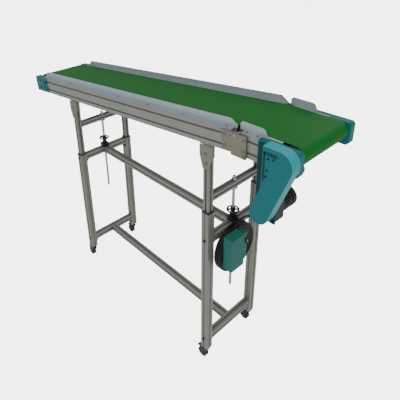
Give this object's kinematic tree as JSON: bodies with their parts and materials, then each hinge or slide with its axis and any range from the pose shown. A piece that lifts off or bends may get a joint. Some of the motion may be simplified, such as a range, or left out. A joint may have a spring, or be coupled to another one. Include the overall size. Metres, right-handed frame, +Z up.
{
  "type": "belt conveyor section",
  "caption": "Inclined belt conveyor section with a level head end, side guards and a guarded belt drive, on a height-adjustable aluminium profile stand with braked casters.",
  "frame": {"origin": "on the floor, under the middle of the object's bounding box", "axes": "+X along the conveyor from the tail towards the drive head, +Y across it towards the side without the drive guard, +Z up"},
  "size_m": [1.8582, 0.4192, 1.3573],
  "materials": {
    "profile_aluminium": "satin anodised",
    "sheet_aluminium": "brushed",
    "plate_steel": "grey zinc-plated",
    "slider_steel": "bright sheet",
    "belt_pvc": "satin",
    "teal_enamel": "semi-gloss enamel",
    "dark_teal_enamel": "semi-gloss enamel",
    "roller_steel": "turned",
    "black_steel": "black oxide",
    "black_plastic": "moulded",
    "control_teal": "powder coat",
    "cable_rubber": "satin",
    "drive_rubber": "matt",
    "motor_paint": "semi-gloss",
    "gearbox_alloy": "cast",
    "caster_tread": "matt",
    "switch_red": "gloss"
  },
  "bodies": {
    "stand": {"lower_legs": "profile_aluminium", "cross_rails": "profile_aluminium", "long_rails": "profile_aluminium", "leg_end_caps": "black_plastic", "screw_bearings": "black_steel", "corner_brackets": "black_plastic", "hanger_plate": "plate_steel", "control_box": "control_teal", "control_lid": "control_teal", "cable_lead": "cable_rubber", "cable_coil": "cable_rubber"},
    "bed": {"upper_legs": "profile_aluminium", "top_cross_rails": "profile_aluminium", "lifting_screws": "roller_steel", "side_beam_near": "profile_aluminium", "side_beam_far": "profile_aluminium", "side_guard_near": "sheet_aluminium", "side_guard_far": "sheet_aluminium", "slider_plate": "slider_steel", "belt_main": "belt_pvc", "tail_housing_near": "teal_enamel", "tail_housing_far": "teal_enamel", "leg_brackets": "plate_steel", "knuckle_plates_bed": "plate_steel", "bed_cross_ties": "profile_aluminium", "cable_clip": "plate_steel"},
    "head": {"head_beams": "profile_aluminium", "head_guards": "sheet_aluminium", "head_slider_plate": "slider_steel", "belt_head": "belt_pvc", "head_housing_near": "teal_enamel", "head_housing_far": "teal_enamel", "drive_guard": "teal_enamel", "gearbox": "motor_paint", "motor": "motor_paint", "motor_bracket": "dark_teal_enamel", "knuckle_plates_head": "plate_steel", "drive_belt": "drive_rubber"},
    "tail_roller": {"tail_roller": "roller_steel"},
    "drive_roller": {"drive_roller": "roller_steel", "drive_pulley": "gearbox_alloy"},
    "bend_roller": {"bend_roller": "roller_steel"},
    "return_roller": {"return_roller": "roller_steel"},
    "motor_pulley": {"motor_pulley": "gearbox_alloy"},
    "handwheel_head": {"handwheel_head": "black_steel"},
    "handwheel_tail": {"handwheel_tail": "black_steel"},
    "speed_knob": {"speed_knob": "black_plastic"},
    "power_switch": {"power_switch": "switch_red"},
    "caster_swivel_1": {"caster_fork_1": "black_steel"},
    "caster_wheel_1": {"caster_wheel_1": "caster_tread"},
    "caster_brake_1": {"caster_brake_1": "black_plastic"},
    "caster_swivel_2": {"caster_fork_2": "black_steel"},
    "caster_wheel_2": {"caster_wheel_2": "caster_tread"},
    "caster_brake_2": {"caster_brake_2": "black_plastic"},
    "caster_swivel_3": {"caster_fork_3": "black_steel"},
    "caster_wheel_3": {"caster_wheel_3": "caster_tread"},
    "caster_brake_3": {"caster_brake_3": "black_plastic"},
    "caster_swivel_4": {"caster_fork_4": "black_steel"},
    "caster_wheel_4": {"caster_wheel_4": "caster_tread"},
    "caster_brake_4": {"caster_brake_4": "black_plastic"}
  },
  "joints": [
    {"name": "lift", "type": "slide", "parent": "stand", "child": "bed", "axis": [0, 0, 1], "range_m": [-0.045, 0.15]},
    {"name": "head_tilt", "type": "hinge", "parent": "bed", "child": "head", "pos_m": [0.66707, 0.02, 1.308], "axis": [0, 1, 0], "range_deg": [-5.7, 10]},
    {"name": "handwheel_head_turn", "type": "hinge", "parent": "stand", "child": "handwheel_head", "pos_m": [0.52507, 0.02, 0.822], "axis": [0, 0, 1], "range_deg": [-3300, 10900]},
    {"name": "handwheel_tail_turn", "type": "hinge", "parent": "stand", "child": "handwheel_tail", "pos_m": [-0.49093, 0.02, 0.822], "axis": [0, 0, 1], "range_deg": [-3300, 10900]},
    {"name": "drive_roller_spin", "type": "hinge", "parent": "head", "child": "drive_roller", "pos_m": [0.87907, 0.02, 1.29], "axis": [0, 1, 0], "continuous": true},
    {"name": "tail_roller_spin", "type": "hinge", "parent": "bed", "child": "tail_roller", "pos_m": [-0.8881, 0.02, 1.13468], "axis": [0, 1, 0], "continuous": true},
    {"name": "bend_roller_spin", "type": "hinge", "parent": "head", "child": "bend_roller", "pos_m": [0.66707, 0.02, 1.308], "axis": [0, 1, 0], "continuous": true},
    {"name": "return_roller_spin", "type": "hinge", "parent": "bed", "child": "return_roller", "pos_m": [-0.08256, 0.02, 1.16625], "axis": [0, 1, 0], "continuous": true},
    {"name": "motor_pulley_spin", "type": "hinge", "parent": "head", "child": "motor_pulley", "pos_m": [0.81407, 0.02, 1.07], "axis": [0, 1, 0], "continuous": true},
    {"name": "speed_knob_turn", "type": "hinge", "parent": "stand", "child": "speed_knob", "pos_m": [0.58807, -0.013, 0.728], "axis": [1, 0, 0], "range_deg": [0, 300]},
    {"name": "power_switch_rock", "type": "hinge", "parent": "stand", "child": "power_switch", "pos_m": [0.61707, -0.013, 0.676], "axis": [0, 1, 0], "range_deg": [-7, 7]},
    {"name": "caster_1_swivel", "type": "hinge", "parent": "stand", "child": "caster_swivel_1", "pos_m": [0.52507, -0.145, 0.07], "axis": [0, 0, 1], "continuous": true},
    {"name": "caster_1_roll", "type": "hinge", "parent": "caster_swivel_1", "child": "caster_wheel_1", "pos_m": [0.50507, -0.145, 0.026], "axis": [0, 1, 0], "continuous": true},
    {"name": "caster_1_brake", "type": "hinge", "parent": "caster_swivel_1", "child": "caster_brake_1", "pos_m": [0.50107, -0.145, 0.058], "axis": [0, 1, 0], "range_deg": [-15, 0]},
    {"name": "caster_2_swivel", "type": "hinge", "parent": "stand", "child": "caster_swivel_2", "pos_m": [0.52507, 0.185, 0.07], "axis": [0, 0, 1], "continuous": true},
    {"name": "caster_2_roll", "type": "hinge", "parent": "caster_swivel_2", "child": "caster_wheel_2", "pos_m": [0.50507, 0.185, 0.026], "axis": [0, 1, 0], "continuous": true},
    {"name": "caster_2_brake", "type": "hinge", "parent": "caster_swivel_2", "child": "caster_brake_2", "pos_m": [0.50107, 0.185, 0.058], "axis": [0, 1, 0], "range_deg": [-15, 0]},
    {"name": "caster_3_swivel", "type": "hinge", "parent": "stand", "child": "caster_swivel_3", "pos_m": [-0.49093, -0.145, 0.07], "axis": [0, 0, 1], "continuous": true},
    {"name": "caster_3_roll", "type": "hinge", "parent": "caster_swivel_3", "child": "caster_wheel_3", "pos_m": [-0.51093, -0.145, 0.026], "axis": [0, 1, 0], "continuous": true},
    {"name": "caster_3_brake", "type": "hinge", "parent": "caster_swivel_3", "child": "caster_brake_3", "pos_m": [-0.51493, -0.145, 0.058], "axis": [0, 1, 0], "range_deg": [-15, 0]},
    {"name": "caster_4_swivel", "type": "hinge", "parent": "stand", "child": "caster_swivel_4", "pos_m": [-0.49093, 0.185, 0.07], "axis": [0, 0, 1], "continuous": true},
    {"name": "caster_4_roll", "type": "hinge", "parent": "caster_swivel_4", "child": "caster_wheel_4", "pos_m": [-0.51093, 0.185, 0.026], "axis": [0, 1, 0], "continuous": true},
    {"name": "caster_4_brake", "type": "hinge", "parent": "caster_swivel_4", "child": "caster_brake_4", "pos_m": [-0.51493, 0.185, 0.058], "axis": [0, 1, 0], "range_deg": [-15, 0]}
  ],
  "couplings": [
    {"joint": "handwheel_head_turn", "follows": "lift", "rad_per_m": 1256.6},
    {"joint": "handwheel_tail_turn", "follows": "lift", "rad_per_m": 1256.6},
    {"joint": "tail_roller_spin", "follows": "drive_roller_spin", "ratio": 1},
    {"joint": "bend_roller_spin", "follows": "drive_roller_spin", "ratio": 2},
    {"joint": "return_roller_spin", "follows": "drive_roller_spin", "ratio": -3.6},
    {"joint": "motor_pulley_spin", "follows": "drive_roller_spin", "ratio": 1.6667}
  ]
}
